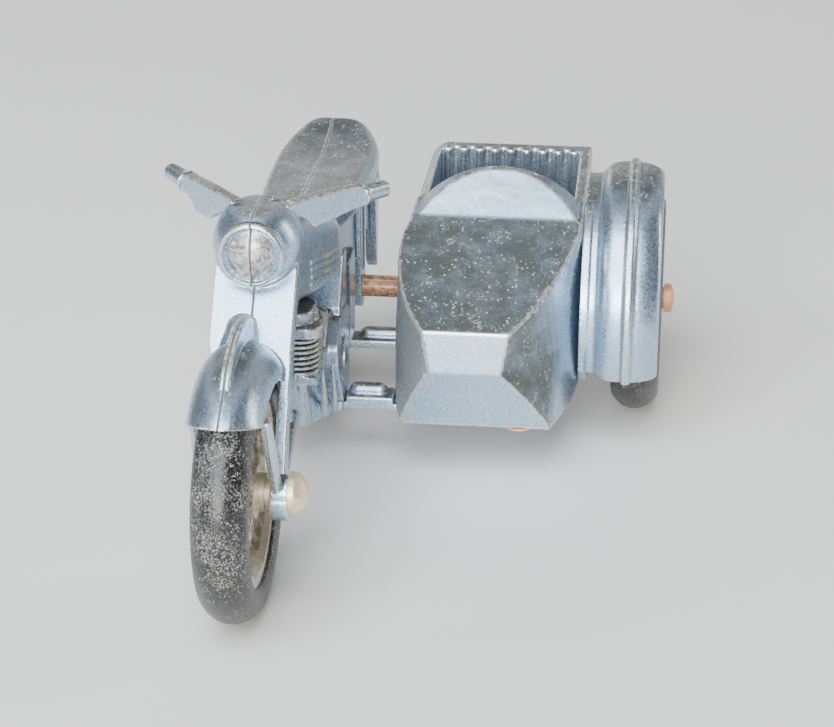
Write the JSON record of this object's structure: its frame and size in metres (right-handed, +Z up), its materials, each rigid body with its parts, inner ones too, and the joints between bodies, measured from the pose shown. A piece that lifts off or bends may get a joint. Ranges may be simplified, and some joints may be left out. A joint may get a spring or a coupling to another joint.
{
  "type": "toy motorcycle with sidecar",
  "caption": "Small die-cast toy motorcycle with a sidecar on its right; both castings are riveted together and roll on rubber-tyred wheels, two of them on a shared cross axle.",
  "frame": {"origin": "on the ground, in the middle of the whole object's box", "axes": "-Y is the direction of travel, +X points from the motorcycle to the sidecar, +Z is up"},
  "size_m": [0.0334, 0.0538, 0.024],
  "materials": {
    "silver_paint": "silver-blue metallic paint, worn",
    "rim": "dull warm metal",
    "tyre": "dusty black rubber",
    "copper": "coppered steel, dull",
    "pin": "pale brass, worn"
  },
  "bodies": {
    "castings": {"bike_left_half": "silver_paint", "bike_right_half": "silver_paint", "fork_pin": "pin", "head_rivet": "silver_paint", "case_rivet": "silver_paint", "tail_rivet": "silver_paint", "sidecar_frame": "silver_paint", "frame_rivet": "copper", "sidecar_body": "silver_paint", "body_rivets": "copper", "sidecar_mudguard": "silver_paint", "mudguard_rivets": "silver_paint"},
    "front_wheel": {"front_wheel_rim": "rim", "front_wheel_tyre": "tyre"},
    "cross_axle": {"cross_axle": "copper"},
    "rear_wheel": {"rear_wheel_rim": "rim", "rear_wheel_tyre": "tyre"},
    "sidecar_wheel": {"sidecar_wheel_rim": "rim", "sidecar_wheel_tyre": "tyre"}
  },
  "joints": [
    {"name": "front_wheel_roll", "type": "hinge", "parent": "castings", "child": "front_wheel", "pos_m": [-0.00946, -0.01874, 0.0082], "axis": [1, 0, 0], "continuous": true},
    {"name": "cross_axle_turn", "type": "hinge", "parent": "castings", "child": "cross_axle", "pos_m": [-0.00946, 0.01676, 0.0082], "axis": [1, 0, 0], "continuous": true},
    {"name": "rear_wheel_roll", "type": "hinge", "parent": "cross_axle", "child": "rear_wheel", "pos_m": [-0.00946, 0.01676, 0.0082], "axis": [1, 0, 0], "continuous": true},
    {"name": "sidecar_wheel_roll", "type": "hinge", "parent": "cross_axle", "child": "sidecar_wheel", "pos_m": [0.01414, 0.01676, 0.0082], "axis": [1, 0, 0], "continuous": true}
  ]
}
